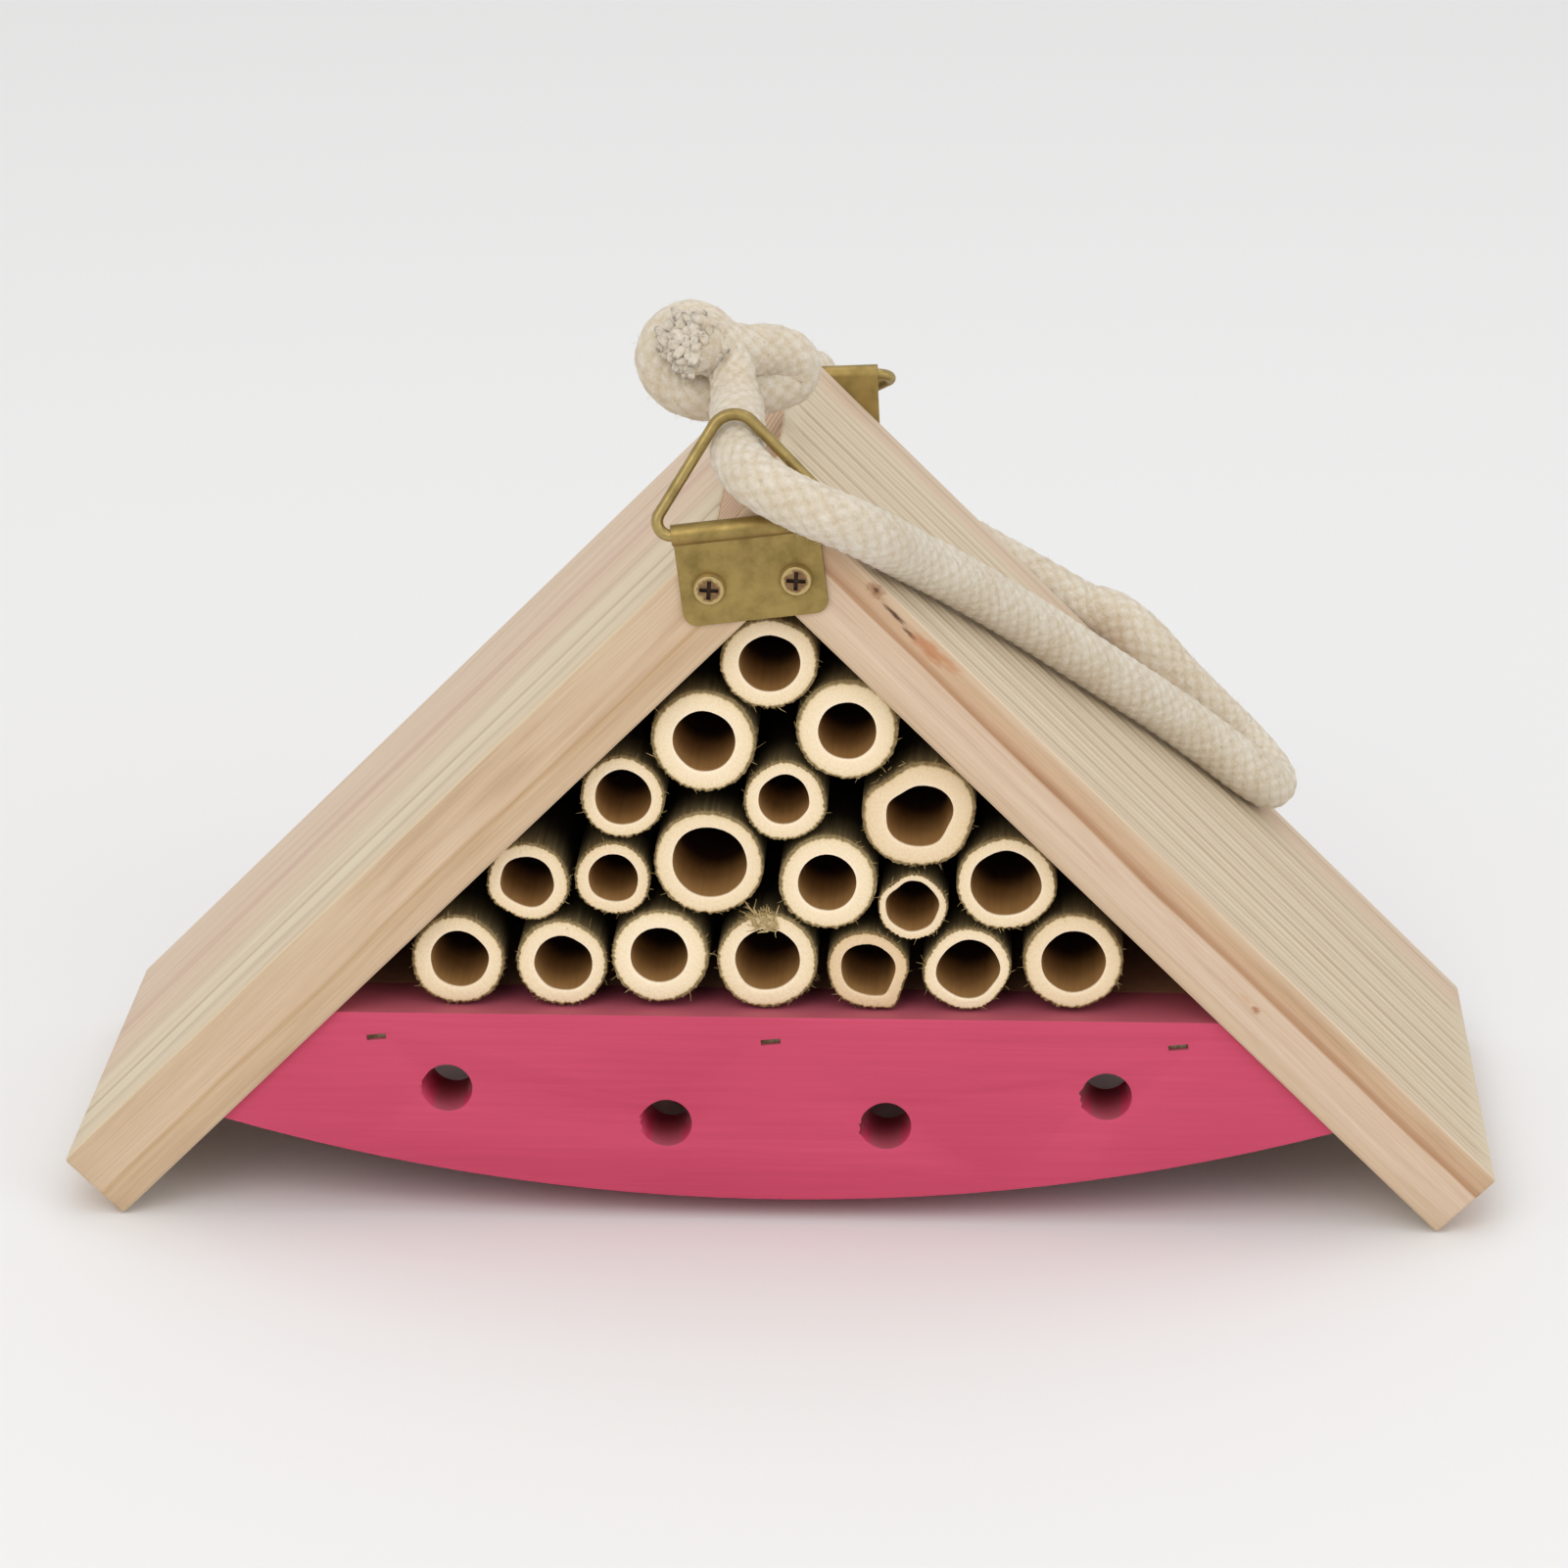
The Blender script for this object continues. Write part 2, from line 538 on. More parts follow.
def sliver(root, way, bend, length, thick):
    """A thin bent three-sided hair, as rings of points from its root to its tip."""
    segments = 3
    side = np.cross(way, (0.31, 0.57, 0.76))
    side /= np.linalg.norm(side)
    lift = np.cross(way, side)
    rings = []
    for k in range(segments + 1):
        part = k / segments
        at, width = root + way * length * part + bend * part * part, thick * (1 - 0.75 * part)
        rings.append([at + side * width, at - side * width, at + lift * 1.6 * width])
    return rings


def add_sliver(verts, faces, rings):
    base = len(verts)
    verts += [tuple(house(*p)) for ring in rings for p in ring]
    for i in range(len(rings) - 1):
        for k in range(3):
            a, b = base + 3 * i + k, base + 3 * i + (k + 1) % 3
            faces.append((a, b, b + 3, a + 3))
    last = base + 3 * (len(rings) - 1)
    faces += [(base + 2, base + 1, base), (last, last + 1, last + 2)]


def plaited_tube(name, line, at, radius, start=0.0):
    """A plaited rope's surface swept along a line, closed at both ends and covered in down. radius
    is one number, or one for each point. start is the length of rope that comes before it."""
    count, sides = len(line), ROPE_SIDES
    heading = np.gradient(line, axis=0)
    heading /= np.linalg.norm(heading, axis=1)[:, None]
    side = np.array([0.1, 0.3, 1.0])
    radius = np.broadcast_to(radius, (count,))
    turn = np.arange(sides) / sides
    rings, heights = [], []
    for i in range(count):
        side = side - heading[i] * side.dot(heading[i])
        side /= np.linalg.norm(side)
        other = np.cross(heading[i], side)
        height = plait_height(turn, start + at[i])
        reach = radius[i] - PLAIT_RELIEF + PLAIT_RELIEF * height
        angle = 2 * math.pi * turn
        rings.append(line[i] + reach[:, None] * (np.cos(angle)[:, None] * side
                                                 + np.sin(angle)[:, None] * other))
        heights.append(height)
    verts = [tuple(house(*p)) for ring in rings for p in ring]
    heights = [h for ring in heights for h in ring]
    faces = []
    for i in range(count - 1):
        for k in range(sides):
            a, b = i * sides + k, i * sides + (k + 1) % sides
            faces.append((a, b, b + sides, a + sides))
    for end in (0, count - 1):
        verts.append(tuple(house(*(line[end]))))
        heights.append(0.3)
        middle = len(verts) - 1
        for k in range(sides):
            a, b = end * sides + k, end * sides + (k + 1) % sides
            faces.append((middle, b, a) if end == 0 else (middle, a, b))
    dice = random.Random(name)
    surface = np.array(rings)
    for _ in range(int(DOWN * at[-1])):
        i, k = dice.randrange(2, count - 2), dice.randrange(sides)
        out = surface[i, k] - line[i]
        out /= np.linalg.norm(out)
        way = (heading[i] * dice.gauss(0, 1) + np.cross(out, heading[i]) * dice.gauss(0, 1)
               + out * 0.45)
        way /= np.linalg.norm(way)
        bend = np.array([dice.gauss(0, 0.35) for _ in range(3)]) - out * 0.15
        length, thick = dice.uniform(0.5, 1.5), dice.uniform(0.022, 0.04)
        add_sliver(verts, faces, sliver(surface[i, k] - out * 0.1, way, bend, length, thick))
    heights += [0.9] * (len(verts) - len(heights))
    return rope_piece(name, verts, faces, heights)


def rope_piece(name, verts, faces, heights):
    """A piece of cotton from its points and faces, with the plait height of each point."""
    mesh = bpy.data.meshes.new(name)
    mesh.from_pydata(verts, [], faces)
    mesh.shade_smooth()
    piece = bpy.data.objects.new(name, mesh)
    bpy.context.scene.collection.objects.link(piece)
    write_attribute(piece, "plait", heights)
    mesh.materials.append(cotton)
    return piece


def frayed_end(name, centre, way, radius, yarns, seed):
    """The cut end of the rope: short fat yarns that open like a brush and curl over, spread evenly
    over the end by the golden angle."""
    dice = random.Random(seed)
    way = np.array(way) / np.linalg.norm(way)
    side = np.cross(way, (0.0, 0.0, 1.0))
    side /= np.linalg.norm(side)
    lift = np.cross(side, way)
    verts, faces, heights = [], [], []
    sides, rows = 7, 6
    for n in range(yarns):
        far = math.sqrt((n + 0.5) / yarns)
        angle = n * GOLDEN_ANGLE + dice.uniform(-0.3, 0.3)
        out = math.cos(angle) * side + math.sin(angle) * lift
        root = np.array(centre) + out * far * radius * 0.8 - way * (0.5 + 1.5 * far * far)
        length, thick = dice.uniform(1.2, 2.2) - 0.6 * far, dice.uniform(0.8, 1.15)
        curl = out * dice.uniform(-0.2, 1.7) + np.cross(out, way) * dice.gauss(0, 0.9)
        base = len(verts)
        for row in range(rows):
            part = row / (rows - 1)
            spot = root + way * length * math.sin(part * 1.45) + curl * part * part
            width = thick * (1 - 0.35 * part ** 4)
            for k in range(sides):
                turn = 2 * math.pi * k / sides
                ripple = 1 + 0.13 * math.sin(3 * turn + 4 * part + n)
                verts.append(tuple(house(*(spot + ripple * width * (
                    math.cos(turn) * side + math.sin(turn) * lift)))))
                heights.append(0.7 + 0.3 * part)
        for row in range(rows - 1):
            for k in range(sides):
                a, b = base + row * sides + k, base + row * sides + (k + 1) % sides
                faces.append((b, a, a + sides, b + sides))
        faces.append(tuple(base + k for k in range(sides)))
        faces.append(tuple(base + (rows - 1) * sides + k for k in range(sides))[::-1])
        for _ in range(3):
            hair = way * dice.uniform(0.2, 1) + out * dice.gauss(0, 0.7) + lift * dice.gauss(0, 0.5)
            hair /= np.linalg.norm(hair)
            add_sliver(verts, faces, sliver(spot, hair, out * dice.gauss(0, 0.5),
                                            dice.uniform(0.6, 1.5), dice.uniform(0.03, 0.05)))
    heights += [0.9] * (len(verts) - len(heights))
    return rope_piece(name, verts, faces, heights)


SEAM = 22  # the point of ROPE_ROUTE where the stretch that follows the rear ring begins


def make_rope():
    """The rope in two stretches, because its two ends follow two rings, with a knot on each."""
    front_line, front_at = even_steps(smooth_route(ROPE_ROUTE[:SEAM + 1]))
    back_line, back_at = even_steps(smooth_route(ROPE_ROUTE[SEAM:] + TAIL_ROUTE[1:]))
    rope = plaited_tube("rope_handle", front_line, front_at, ROPE_D / 2)
    tail = plaited_tube("rope_tail", back_line, back_at, ROPE_D / 2, start=front_at[-1])
    knot_line, knot_at = even_steps(smooth_route(FRONT_KNOT_ROUTE))
    thickness = np.interp(knot_at / knot_at[-1], [0, 0.1, 0.2, 0.6, 0.85, 0.96, 1],
                          [4.7, 4.3, 4.4, 5.0, 4.9, 5.9, 5.4])
    front_knot = plaited_tube("front_knot_turns", knot_line, knot_at, thickness)
    front_end = frayed_end("front_knot_end", (-16.0, -24.3, 161.3), (-0.12, -0.98, 0.05),
                           radius=6.6, yarns=64, seed=4)
    # behind, a pulled-tight knot wound three times through itself
    turns = np.linspace(0.35, 2 * math.pi + 0.1, 90)
    wound = [(-0.4 + (5.0 + 2.7 * math.cos(3 * t)) * math.sin(2 * t) * 0.95,
              73.9 + 2.9 * math.sin(3 * t),
              102.3 + (5.0 + 2.7 * math.cos(3 * t)) * math.cos(2 * t)) for t in turns]
    rear_line, rear_at = even_steps(wound)
    rear_knot = plaited_tube("rear_knot_turns", rear_line, rear_at, 4.4)
    rear_way = rear_line[-1] - rear_line[-4]
    rear_end = frayed_end("rear_knot_end", rear_line[-1], rear_way, radius=4.4, yarns=34, seed=9)
    for piece, nodes in ((rope, ("rope",)), (tail, ("rope", "rear_knot")),
                         (front_knot, ("front_knot",)), (front_end, ("front_knot",)),
                         (rear_knot, ("rear_knot",)), (rear_end, ("rear_knot",))):
        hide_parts(*nodes)
    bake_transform(rope)
    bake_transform(tail)
    for piece, body in ((front_knot, "front_ring"), (front_end, "front_ring"),
                        (rear_knot, "rear_ring"), (rear_end, "rear_ring")):
        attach(piece, body)


make_rope()


# ---- roof boards ----

def worn_edges(piece, width_mm):
    """Rounds the sharp edges a little, as handling does."""
    apply_modifier(piece, "BEVEL", width=width_mm * MM, segments=2, limit_method="ANGLE",
                   angle_limit=SHARP)


# grooves of soft wood between the ridges: place across the board in mm from its middle, half width,
# and depth as a part of the full relief
GROOVES = [
    (-46, 0.7, 0.5), (-43.6, 0.8, 0.7), (-40.4, 1.1, 1.0), (-37.6, 0.7, 0.5), (-34.4, 0.8, 0.6),
    (-31, 1.1, 0.9), (-28.2, 0.7, 0.55), (-24.6, 0.9, 0.7), (-20.2, 1.1, 0.95), (-17, 0.7, 0.5),
    (-13.2, 1.1, 1.0), (-9.8, 0.7, 0.5), (-7.4, 0.7, 0.6), (-3.6, 1.2, 1.0), (0.2, 0.7, 0.5),
    (4.4, 1.0, 0.8), (7.6, 0.7, 0.5), (11.1, 1.1, 0.95), (15.2, 0.8, 0.6), (19.4, 1.0, 0.8),
    (22.2, 0.6, 0.45), (25.6, 0.8, 0.6), (29.9, 1.0, 0.9), (34.5, 0.8, 0.5), (44.4, 1.0, 0.6)]


def ridge_pattern(across, along, pitch, seed):
    """Height from 0 to 1 of the hard late-wood ridges that stand up on a brushed face, evenly
    spaced where a pitch is given, or else between the grooves."""
    dice = random.Random(seed)
    across = across + 0.5 * np.sin(along / 61.0 + 0.7) + 0.22 * np.sin(along / 23.0 + across / 40.0)
    if pitch:
        phase = across / pitch + 0.5 * np.sin(across / 21.0 + dice.uniform(0, 6))
        return (0.5 + 0.5 * np.cos(2 * math.pi * phase)) ** 0.7
    height = np.ones_like(across)
    for place, half, depth in GROOVES:
        height -= depth * np.exp(-np.abs((across - place) / half) ** 1.6)
    return np.clip(height, 0, 1)


def roof_board(name, side, start, cuts, ridge_mm, pitch, smooth_from, seed, material):
    """A plank laid flat with its outer face up, cut, worn, ridged, then tipped onto its slope. cuts
    are the rounds of cuts across its depth; the last one splits what the one before it left."""
    let_go()
    length = SLOPE_LENGTH - start
    bpy.ops.mesh.primitive_cube_add(size=1)
    plank = bpy.context.object
    plank.dimensions = (length * MM, ROOF_DEPTH * MM, BOARD * MM)
    plank.location = (side * (start + length / 2) * MM, 0, -BOARD / 2 * MM)
    piece_name = name.replace("board", "plank")
    settle(plank, piece_name)
    worn_edges(plank, 0.7)
    for axis, rounds in ((0, (40,)), (1, cuts)):
        long_edge = (length, ROOF_DEPTH)[axis] * MM * 0.8
        for count in rounds:
            select_edges(plank, lambda a, b: abs(a[axis] - b[axis]) > long_edge)
            bpy.ops.mesh.subdivide(number_cuts=count)
            long_edge /= count + 1
    let_go()
    points = points_of(plank)
    on_top = points[:, 2] > -0.02 * MM
    across, along = points[:, 1] / MM, np.abs(points[:, 0]) / MM
    pattern = ridge_pattern(across, along, pitch, seed)
    # the hard ridges stand level with the edges, and the soft wood between them is worn away
    from_edge = np.minimum.reduce(
        [ROOF_DEPTH / 2 - np.abs(across), along - start, SLOPE_LENGTH - along])
    depth = np.clip((from_edge - 0.7) / 1.2, 0, 1)
    depth = depth * np.clip((smooth_from - across) / 3.0, 0.12, 1)
    points[:, 2] -= np.where(on_top, (1 - pattern) * depth * ridge_mm * MM, 0)
    move_points(plank, points)
    write_attribute(plank, "relief", np.where(on_top, 1 - (1 - pattern) * depth, 1.0))
    plank.rotation_euler = (0, side * SLOPE, 0)
    plank.location = house(0, 0, RIDGE_Z)
    settle(plank, piece_name)
    finish_piece(plank, material, "roof_timber", "root", name, smooth=60)


left_timber = planed_softwood(
    "planed_spruce_pink_band", -1,
    flat_bands=((0.0, "#d8c5a6"), (0.05, "#d6c6ab"), (0.09, "#d5c4ab"), (0.115, "#c5b69a"),
                (0.14, "#daccb1"), (0.20, "#d9cbb1"), (0.222, "#c0b092"), (0.25, "#d5c5ab"), (0.33, "#dbcdb2"),
                (0.40, "#d0bca3"), (0.44, "#d5bfa7"), (0.60, "#d5bea6"), (0.64, "#c9ad98"),
                (0.68, "#d4bda7"), (1.0, "#d5c0a9")),
    edge_bands=((0.0, "#cbb395"), (0.35, "#ceb598"), (0.58, "#d1b79a"), (0.635, "#be9f7b"),
                (0.70, "#ccb191"), (1.0, "#cbb192")),
    end=("#d5b592", "#c9a783", "#b08866"), stripes=0.28)
right_timber = planed_softwood(
    "brushed_pine_ridged", 1,
    flat_bands=((0.0, "#d7c4aa"), (0.08, "#dacbb0"), (0.45, "#d7c8ae"), (0.84, "#d5c6ac"),
                (0.89, "#d1b9a0"), (0.95, "#d0b8a0"), (1.0, "#d4c1aa")),
    edge_bands=((0.0, "#ceb599"), (0.10, "#c6a98a"), (0.24, "#c4a384"), (0.31, "#b38d6d"),
                (0.345, "#b18968"), (0.375, "#d2b9a0"), (0.7, "#d6bfa7"), (1.0, "#ccb294")),
    end=("#d3b593", "#c5a07f", "#a87f66"), stripes=0.5, relief=0.8,
    marks=((27, -48.5, -1.3, 1.6, 1.5, 0.75, "#8f633f"),
           (27, -48.5, -1.2, 1.2, 0.6, 0.9, "#5d3f29"),
           (32.5, -48.5, -2.1, 7.0, 0.5, 0.95, "#4b3224"),
           (37, -48.5, -2.7, 5.0, 0.45, 0.9, "#54382a"),
           (41.5, -48.5, -2.3, 3.2, 1.7, 0.75, "#b4764c"),
           (46, -48.5, -1.7, 3.0, 1.1, 0.6, "#b9825a"),
           (131.8, -48.5, -8.3, 1.5, 0.8, 0.8, "#a46a42"),
           (129, -48.5, -8.1, 3.0, 0.6, 0.4, "#c9996c")))
roof_board("left_roof_board", -1, start=BOARD + GLUE, cuts=(11, 10), ridge_mm=0.12, pitch=6.5,
           smooth_from=99, seed=5, material=left_timber)
roof_board("right_roof_board", 1, start=0, cuts=(19, 19), ridge_mm=0.42, pitch=0,
           smooth_from=49, seed=8, material=right_timber)


# ---- floor and walls ----

crimson = satin_paint("crimson_satin_paint", "#c84665", "#c34261", "#b25766")


HOLES = ((-60.6, 25.7), (-20.2, 19.3), (20.2, 19.3), (60.6, 25.7))  # x and z of each hole's middle
HOLE_RIM = 5.2     # all that is this near to a hole's middle belongs to its rim


def torn_holes(panel):
    """The drill has torn the wood at the left of each hole, on the face."""
    dice = random.Random(12)
    points = points_of(panel)
    face = points[:, 1].min()
    at_face = points[:, 1] < face + 0.6 * MM
    for x, z in HOLES:
        away = points - np.array(house(x, 0, z))
        distance = np.hypot(away[:, 0], away[:, 2])
        angle = np.arctan2(away[:, 2], away[:, 0])
        rim = at_face & (distance < HOLE_RIM * MM)
        torn = np.clip(1 - np.abs(np.abs(angle) - math.pi) / 1.0, 0, 1)
        for i in np.nonzero(rim & (torn > 0))[0]:
            push = 1 + torn[i] * dice.uniform(0.0, 0.24)
            lift = 1 + torn[i] * dice.uniform(0, 0.1)
            points[i, 0] = points[i, 0] - away[i, 0] + away[i, 0] * push
            points[i, 2] = points[i, 2] - away[i, 2] + away[i, 2] * lift
    move_points(panel, points)


def build_walls():
    stained = planed_softwood(
        "sawn_softwood_in_shade", 1,
        flat_bands=((0.0, "#8a6148"), (0.5, "#9a6e54"), (1.0, "#8a6148")),
        edge_bands=((0.0, "#8a6148"), (1.0, "#9a6e54")), end=("#8a6248", "#7a543c", "#4c3023"),
        stripes=0.6)
    for name, material, slot in (("front_panel", crimson, "painted_wood"),
                                 ("back_wall", crimson, "painted_wood"),
                                 ("floor_board", stained, "floor_timber")):
        piece = copy_of_node(name, name + "_worn")
        worn_edges(piece, 0.35)
        if name == "front_panel":
            torn_holes(piece)
        finish_piece(piece, material, slot, "root", name)


build_walls()


# ---- bamboo ----

# (outer diameter, bore, how oval, lumps, tint) of each cane, which stands where its CAD piece does
CANES = [
    (18.0, 10.4, 0.03, 0.02, 0.2), (19.8, 10.9, 0.02, 0.02, 0.1), (19.3, 10.2, 0.02, 0.02, 0.1),
    (16.2, 10.0, 0.03, 0.03, 0.3), (16.0, 9.0, 0.05, 0.05, 0.2), (22.0, 11.5, 0.07, 0.05, 0.5),
    (15.9, 9.4, 0.04, 0.04, 0.3), (14.7, 8.8, 0.02, 0.05, 0.4), (20.6, 13.0, 0.02, 0.02, 0.3),
    (18.6, 10.3, 0.02, 0.02, 0.1), (13.5, 9.3, 0.03, 0.07, 0.4), (18.8, 12.1, 0.02, 0.03, 0.3),
    (18.0, 10.3, 0.02, 0.03, 0.3), (17.4, 10.2, 0.02, 0.03, 0.2), (18.6, 10.2, 0.02, 0.02, 0.0),
    (19.2, 11.4, 0.02, 0.03, 0.2), (16.0, 9.7, 0.05, 0.06, 0.9), (17.0, 11.0, 0.04, 0.05, 0.2),
    (19.0, 11.3, 0.02, 0.02, 0.4)]
# dents (negative) and corners (positive) of single canes: angle in degrees, size, width in degrees
CANE_QUIRKS = {4: ((60, -0.04, 25),), 5: ((-20, 0.05, 18), (60, -0.04, 22)),
               6: ((128, -0.07, 24), (160, 0.03, 14)), 7: ((-150, 0.04, 20),),
               11: ((125, -0.05, 20), (55, -0.05, 20)), 17: ((-58, 0.12, 13), (-20, -0.05, 18)),
               18: ((148, -0.07, 22),), 1: ((35, 0.03, 16), (70, -0.03, 18))}
CANE_SIDES = 160   # points round a cane
FACE_CIRCLES = 7   # circles of points between a cut face's inner and outer edge
FIBRES = 80        # tries at a loose fibre on each rim
SPLINTERS = 120    # fibres in the splintered patch
cane_finish = dry_cane("cut_bamboo_cane")
fibre_finish = straw("loose_cane_fibres")


def cane(number, outer, bore, oval, lumps, tint):
    """One cane: a sawn length of tube, never quite round, its mouth rough, its hollow off centre."""
    dice = random.Random(100 + number)
    name = "bamboo_tube_%02d" % number
    low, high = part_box(name)
    centre = Vector(((low[0] + high[0]) / 2, (low[1] + high[1]) / 2, (low[2] + high[2]) / 2))
    length = high[1] - low[1]
    let_go()
    bpy.ops.mesh.primitive_cylinder_add(vertices=CANE_SIDES, radius=outer / 2 * MM, depth=length,
                                        end_fill_type="NOTHING", location=centre,
                                        rotation=(math.pi / 2, 0, 0))
    tube = settle(bpy.context.object, "cane_%02d" % number)
    select_edges(tube, lambda a, b: abs(a.y - b.y) > length * 0.8)
    bpy.ops.mesh.subdivide(number_cuts=13)
    let_go()
    # rings that lie close together near the two mouths
    mouths = (low[1] + 0.01 * MM, high[1] - 0.01 * MM)
    select_edges(tube, lambda a, b: abs(a.y - b.y) > MM and (
        min(a.y, b.y) < mouths[0] or max(a.y, b.y) > mouths[1]))
    bpy.ops.mesh.subdivide(number_cuts=4)
    apply_modifier(tube, "SOLIDIFY", thickness=(outer - bore) / 2 * MM, offset=-1)
    for beyond in (lambda y: y < mouths[0], lambda y: y > mouths[1]):
        select_edges(tube, lambda a, b: beyond(a.y) and beyond(b.y) and abs(
            math.hypot(a.x - centre.x, a.z - centre.z) - math.hypot(b.x - centre.x, b.z - centre.z))
            > 0.5 * MM)
        bpy.ops.mesh.subdivide(number_cuts=FACE_CIRCLES)
        let_go()
    points = points_of(tube)
    x, z = (points[:, 0] - centre.x) / MM, (points[:, 2] - centre.z) / MM
    y = (points[:, 1] - low[1]) / MM
    radius, angle = np.hypot(x, z), np.arctan2(z, x)
    wall = np.clip((radius - bore / 2) / (outer / 2 - bore / 2), 0, 1)
    shape_out, shape_in = np.ones_like(angle), np.ones_like(angle)
    turned = dice.uniform(0, math.pi)
    shape_out += oval * (0.15 - 0.5 * (1 + np.cos(2 * (angle - turned))))
    shape_in += oval * (0.6 - 0.7 * (1 + np.cos(2 * (angle - turned)))) + 0.05
    for wave in (3, 4, 5, 7):
        size, at = dice.uniform(0.2, 1) * lumps / wave * 2, dice.uniform(0, 2 * math.pi)
        shape_out += size * (0.1 - 0.5 * (1 + np.cos(wave * angle + at)))
        shape_in -= size * 0.8 * np.cos(wave * angle + at + dice.uniform(-1, 1))
    for turn, size, width in CANE_QUIRKS.get(number, ()):
        gap = np.degrees(np.angle(np.exp(1j * (angle - math.radians(turn)))))
        shape_out += size * np.exp(-(gap / width) ** 2)
        shape_in += 0.7 * size * np.exp(-(gap / width) ** 2)
    fuzz = np.zeros_like(angle)
    for wave in (23, 37, 51):
        fuzz += np.sin(wave * angle + dice.uniform(0, 6)) * dice.uniform(0.4, 1)
    off = Vector((dice.uniform(-0.3, 0.3), dice.uniform(-0.3, 0.3)))
    scale = shape_in + (shape_out - shape_in) * wall
    near_end = np.exp(-np.minimum(y, length / MM - y) / 1.2)
    reach = radius * scale + fuzz * 0.07 * near_end * wall
    # a swollen joint of the cane some way in
    joint = dice.uniform(18, 60)
    reach += (0.25 * np.exp(-((y - joint) / 1.4) ** 2) - 0.1) * (wall > 0.5)
    mouth = y < 0.02
    far_mouth = y > length / MM - 0.02
    # the saw leaves the face a little rough and its outer edge broken
    rough = np.array([dice.uniform(0, 1) for _ in range(len(y))])
    inward = 0.10 * rough + 0.28 * np.clip((wall - 0.86) / 0.14, 0, 1) * (0.4 + rough) \
        + 0.12 * np.clip((0.1 - wall) / 0.1, 0, 1)
    y = np.where(mouth, y + inward, np.where(far_mouth, y - inward, y))
    reach = np.where((mouth | far_mouth) & (wall > 0.86), reach - 0.22 * (0.3 + rough), reach)
    points[:, 0] = centre.x + (np.cos(angle) * reach + off.x * (1 - wall)) * MM
    points[:, 2] = centre.z + (np.sin(angle) * reach + off.y * (1 - wall)) * MM
    points[:, 1] = low[1] + y * MM
    move_points(tube, points)
    write_attribute(tube, "wall", wall)
    write_attribute(tube, "depth", np.where(mouth | far_mouth, 0.0, np.minimum(y, length / MM - y)))
    write_attribute(tube, "tint", np.full(len(y), tint))
    finish_piece(tube, cane_finish, "bamboo", "root", name, smooth=50)
    return centre, low[1]


def bend_by(dice, length):
    """How far a fibre's tip bends away to the side."""
    return Vector((dice.gauss(0, 0.25), 0, dice.gauss(0, 0.25))) * length


def fibre(shape, root, way, bend, length, thick):
    """A thin bent three-sided sliver that tapers to its tip."""
    side = way.cross(Vector((0.31, 0.57, 0.76))).normalized() * thick
    lift = way.cross(side).normalized() * thick
    rings = []
    for part, width in ((0, 1.0), (0.5, 0.8), (1.0, 0.3)):
        at = root + way * length * part + bend * part * part
        rings.append([shape.verts.new(at + side * width), shape.verts.new(at - side * width),
                      shape.verts.new(at + lift * width * 1.5)])
    for near, far in zip(rings, rings[1:]):
        for k in range(3):
            shape.faces.new((near[k], near[(k + 1) % 3], far[(k + 1) % 3], far[k]))
    shape.faces.new(rings[0][::-1])
    shape.faces.new(rings[-1])


def cane_fibres(mouths):
    """Loose fibres that the saw has pulled from the rims: thin bent slivers, in one piece."""
    dice = random.Random(77)
    shape = bmesh.new()
    for (centre, mouth_y), (outer, _, oval, lumps, _) in zip(mouths, CANES):
        tuft = dice.uniform(0, 6)
        for _ in range(FIBRES):
            angle = dice.uniform(0, 2 * math.pi)
            if dice.random() > 0.3 + 0.7 * max(0.0, math.sin(2 * angle + tuft)):
                continue
            radial = Vector((math.cos(angle), 0, math.sin(angle)))
            root = centre.copy()
            root.y = mouth_y + dice.uniform(0.3, 1.2) * MM
            root += radial * (outer / 2 * (1 - oval * 0.6 - lumps * 0.5) - 0.35) * MM
            lean = Vector((dice.gauss(0, 1), dice.uniform(-1.0, 0.1), dice.gauss(0, 1)))
            lean.normalize()
            way = (radial * 0.3 + lean).normalized()
            length, thick = dice.uniform(0.4, 1.5) * MM, dice.uniform(0.035, 0.075) * MM
            fibre(shape, root, way, bend_by(dice, length), length, thick)
    # a splintered patch above one cane of the bottom row, where the skin was torn off
    centre, mouth_y = mouths[15]
    for _ in range(SPLINTERS):
        lift = dice.uniform(5.6, 9.6)
        root = centre + Vector((dice.uniform(-2.4, 2.6) - 0.3 * (lift - 5.6), 0, lift)) * MM
        root.y = mouth_y + dice.uniform(-0.1, 0.5) * MM
        way = Vector((dice.gauss(-0.6, 0.45), dice.uniform(-0.5, 0.1), dice.gauss(0.7, 0.4)))
        way.normalize()
        length = dice.uniform(0.8, 2.6) * MM
        fibre(shape, root, way, bend_by(dice, length), length, dice.uniform(0.08, 0.2) * MM)
    bmesh.ops.recalc_face_normals(shape, faces=shape.faces)
    mesh = bpy.data.meshes.new("cane_fibres")
    shape.to_mesh(mesh)
    shape.free()
    piece = bpy.data.objects.new("cane_fibres", mesh)
    bpy.context.scene.collection.objects.link(piece)
    mesh.materials.append(fibre_finish)
    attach(piece, "root")


cane_fibres([cane(number, *sizes) for number, sizes in enumerate(CANES, 1)])


# ---- hangers ----

RECESS_REACH = 2.1  # radius of the round that the screw's cross lies in


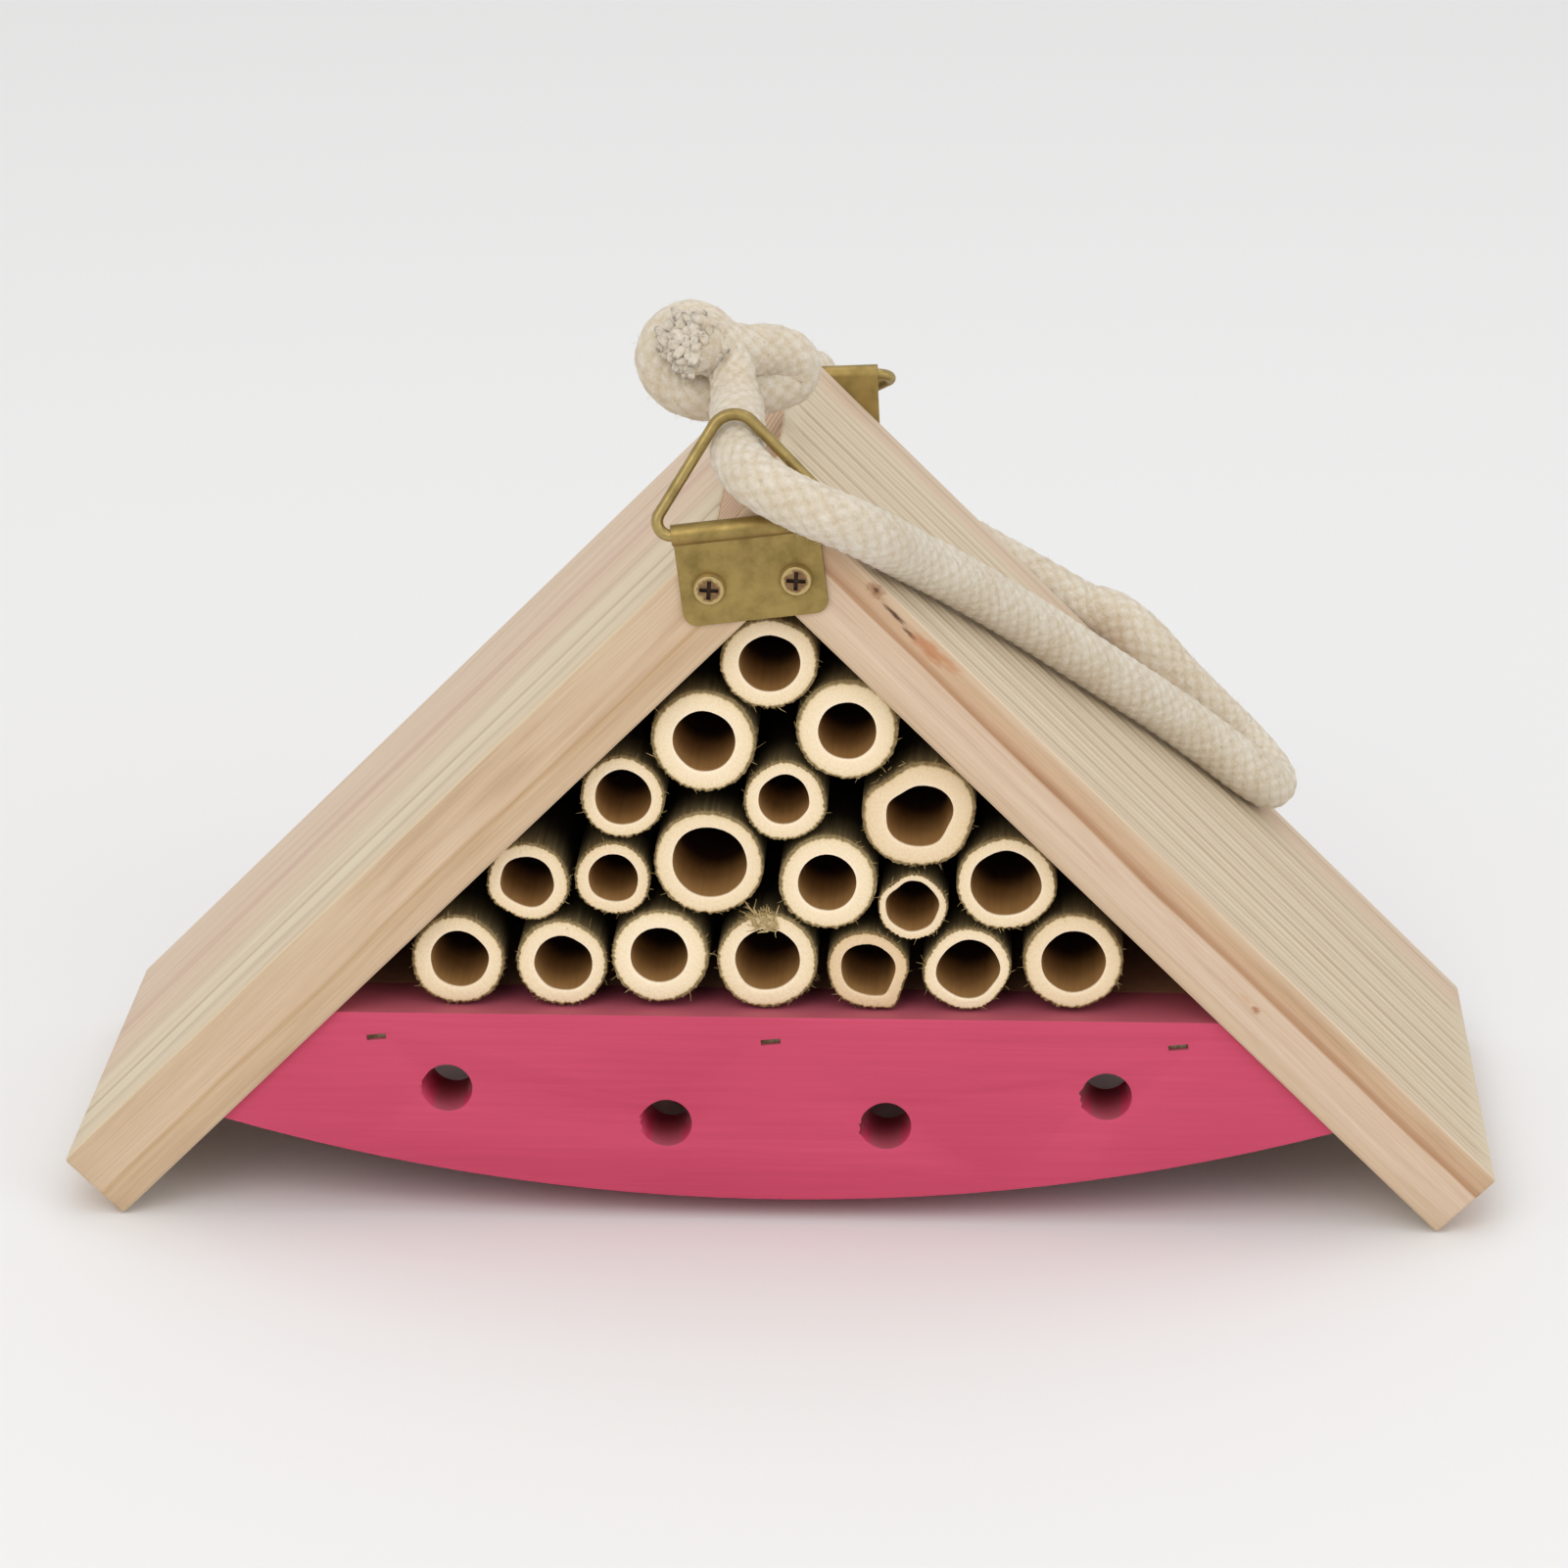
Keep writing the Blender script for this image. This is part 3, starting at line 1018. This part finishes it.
def mark_recesses(screws, end):
    """Says how far into its driver recess each point of a screw head lies."""
    points = points_of(screws) / MM
    outer = points[:, 1].min() if end == "front" else points[:, 1].max()
    values = np.zeros(len(points))
    for half in (points[:, 0] < points[:, 0].mean(), points[:, 0] >= points[:, 0].mean()):
        head = half & (np.abs(points[:, 1] - outer) < 1.2)
        middle = (points[head].min(axis=0) + points[head].max(axis=0)) / 2
        from_axis = np.hypot(points[:, 0] - middle[0], points[:, 2] - middle[2])
        sunk = np.clip(np.abs(points[:, 1] - outer) / 0.5, 0, 1)
        values = np.where(half, np.where(from_axis < RECESS_REACH, 0.45 + 0.55 * sunk, 0.0), values)
    write_attribute(screws, "recess", values)


def build_hangers():
    sheet = tarnished_brass("brass_plated_sheet", "#a78f56", "#8d7946", 0.38, 4.0)
    wire = tarnished_brass("brass_plated_wire", "#b09a62", "#94804f", 0.30, 4.0)
    screw = screw_steel("yellow_passivated_steel")
    staple = galvanised_wire("dull_zinc_wire")
    for end in ("front", "rear"):
        plate = copy_of_node(end + "_hanger_plate", end + "_brass_plate")
        worn_edges(plate, 0.12)
        finish_piece(plate, sheet, "hanger_brass", "root", end + "_hanger_plate", smooth=35)
        screws = copy_of_node(end + "_hanger_screws", end + "_plate_screws")
        worn_edges(screws, 0.08)
        mark_recesses(screws, end)
        finish_piece(screws, screw, "screw_metal", "root", end + "_hanger_screws", smooth=35)
        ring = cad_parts[end + "_ring"]
        ring.data.materials.clear()
        ring.data.materials.append(wire)
    for name in ("panel_staples", "back_wall_staples"):
        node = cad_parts[name]
        node.data.materials.clear()
        node.data.materials.append(staple)


build_hangers()


# ---- studio ----

# name, place, size, power in watts and colour of each soft lamp
LAMPS = (("key", (-0.7, -1.6, 1.5), 1.5, 13, "#fffaf4"),
         ("fill", (1.6, -1.3, 1.0), 1.6, 8, "#f8fbff"),
         ("top", (0.1, 0.3, 2.0), 1.8, 6.5, "#ffffff"))
LAMPS_AIM = Vector((0, 0, 0.07))


def build_studio():
    let_go()
    bpy.ops.mesh.primitive_plane_add(size=12, location=(0, 0, 0))
    ground = settle(bpy.context.object, "studio_floor")
    material, tree, shader = new_finish("matt_pale_studio_floor")
    shader.inputs["Base Color"].default_value = colour("#ececec")
    shader.inputs["Roughness"].default_value = 0.9
    ground.data.materials.append(material)
    for name, place, size, power, hue in LAMPS:
        light = bpy.data.lights.new(name, "AREA")
        light.size, light.energy, light.color = size, power, colour(hue)[:3]
        lamp = bpy.data.objects.new(name, light)
        bpy.context.scene.collection.objects.link(lamp)
        lamp.location = place
        lamp.rotation_euler = (LAMPS_AIM - Vector(place)).to_track_quat("-Z", "Y").to_euler()
    world = bpy.data.worlds.new("studio")
    bpy.context.scene.world = world
    world.use_nodes = True
    sky = world.node_tree.nodes["Background"]
    sky.inputs["Color"].default_value = colour("#f4f4f4")
    sky.inputs["Strength"].default_value = 0.82
    bpy.context.scene.view_settings.view_transform = "Standard"


build_studio()
